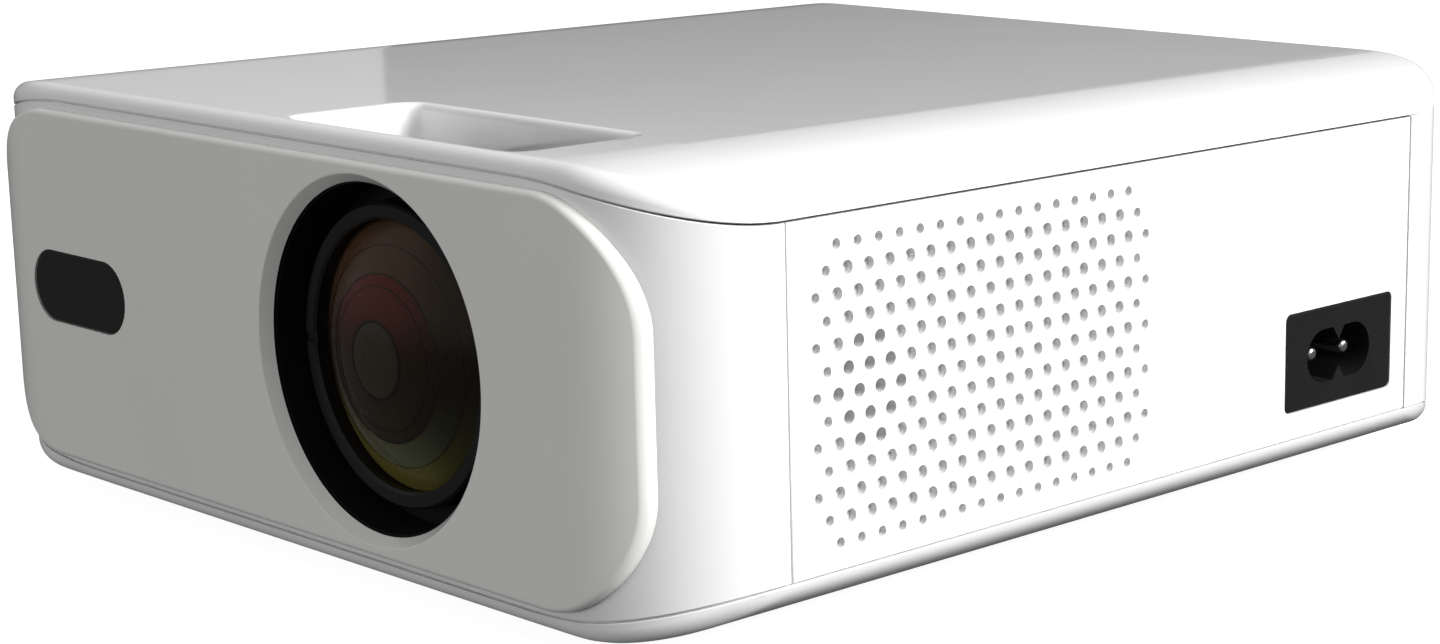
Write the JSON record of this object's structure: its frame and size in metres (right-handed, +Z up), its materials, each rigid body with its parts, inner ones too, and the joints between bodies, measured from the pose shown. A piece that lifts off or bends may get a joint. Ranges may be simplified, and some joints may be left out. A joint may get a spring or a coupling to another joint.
{
  "type": "home projector",
  "caption": "Compact white home projector with a raised front plate, offset focusing lens, infrared window, focus ring in a finger recess, perforated sides and mains inlet.",
  "frame": {"origin": "on the table, under the middle of the projector's width and depth", "axes": "+Z up; -Y is the way the lens looks; +X is the side with the mains inlet"},
  "size_m": [0.18, 0.1838, 0.0679],
  "materials": {
    "white_top": "gloss white moulded shell",
    "white_shell": "gloss white moulded wall",
    "white_fascia": "gloss white moulded plate",
    "black_trim": "fine satin black",
    "smoked_window": "polished, nearly opaque to visible light",
    "lens_glass": "polished, with an amber to green anti-reflection coating",
    "optic_glass": "polished clear",
    "barrel_black": "moulded satin black",
    "dark_mesh": "fine woven black mesh",
    "feet_rubber": "moulded matte",
    "engine_plastic": "moulded matte, heat resistant",
    "sink_aluminium": "extruded, bead blasted",
    "screw_steel": "zinc plated",
    "brass_insert": "turned",
    "board_green": "solder mask",
    "chip_black": "moulded package",
    "socket_metal": "stamped and plated",
    "fan_black": "moulded satin",
    "speaker_paper": "pressed paper cone",
    "speaker_steel": "black lacquer",
    "magnet_ferrite": "sintered",
    "transformer_tape": "yellow winding tape round a dark core",
    "capacitor_sleeve": "shrunk sleeve",
    "led_yellow": "phosphor under silicone"
  },
  "bodies": {
    "root": {"audio_jack": "black_trim", "board_chips": "chip_black", "board_screws": "screw_steel", "bottom_cover": "white_shell", "button_switch": "board_green", "condenser_holder": "engine_plastic", "condenser_lens": "optic_glass", "cover_screws": "screw_steel", "engine_housing": "engine_plastic", "engine_lid": "engine_plastic", "fan_frame": "fan_black", "fan_screws": "screw_steel", "focus_retaining_ring": "barrel_black", "front_fascia": "white_fascia", "front_fresnel_lens": "optic_glass", "front_shell": "white_shell", "hdmi_socket": "socket_metal", "inlet_pins": "socket_metal", "ir_receiver": "chip_black", "ir_window": "smoked_window", "lcd_frame": "engine_plastic", "lcd_panel": "optic_glass", "led_board": "sink_aluminium", "led_emitter": "led_yellow", "led_heatsink": "sink_aluminium", "left_dust_mesh": "dark_mesh", "left_side_panel": "white_shell", "left_speaker_basket": "speaker_steel", "left_speaker_cone": "speaker_paper", "left_speaker_magnet": "magnet_ferrite", "lens_mount": "barrel_black", "lens_mount_screws": "screw_steel", "lens_sleeve": "black_trim", "main_board": "board_green", "polariser_glass": "optic_glass", "power_inlet": "black_trim", "processor_heatsink": "sink_aluminium", "rear_fresnel_lens": "optic_glass", "rear_panel": "white_shell", "right_dust_mesh": "dark_mesh", "right_side_panel": "white_shell", "right_speaker_basket": "speaker_steel", "right_speaker_cone": "speaker_paper", "right_speaker_magnet": "magnet_ferrite", "rubber_feet": "feet_rubber", "supply_board": "board_green", "supply_capacitors": "capacitor_sleeve", "supply_transformer": "transformer_tape", "top_cover": "white_top", "tripod_insert": "brass_insert", "usb_sockets": "socket_metal"},
    "focus_ring": {"focus_ring": "barrel_black"},
    "lens_barrel": {"lens_barrel": "barrel_black", "lens_retaining_ring": "barrel_black", "front_lens_element": "lens_glass", "lens_spacer": "barrel_black", "rear_lens_element": "optic_glass"},
    "fan_rotor": {"fan_rotor": "fan_black"},
    "power_button": {"power_button": "white_shell"}
  },
  "joints": [
    {"name": "focus_turn", "type": "hinge", "parent": "root", "child": "focus_ring", "pos_m": [0.025, -0.075, 0.0352], "axis": [0, 1, 0], "range_deg": [-45, 45]},
    {"name": "lens_slide", "type": "slide", "parent": "root", "child": "lens_barrel", "axis": [0, -1, 0], "range_m": [-0.00298, 0.00298]},
    {"name": "fan_spin", "type": "hinge", "parent": "root", "child": "fan_rotor", "pos_m": [0.025, 0.0795, 0.0352], "axis": [0, 1, 0], "continuous": true},
    {"name": "button_press", "type": "slide", "parent": "root", "child": "power_button", "axis": [0, -1, 0], "range_m": [0, 0.0008], "stiffness_N_per_m": 300}
  ],
  "couplings": [
    {"joint": "focus_turn", "follows": "lens_slide", "rad_per_m": 263.16}
  ]
}
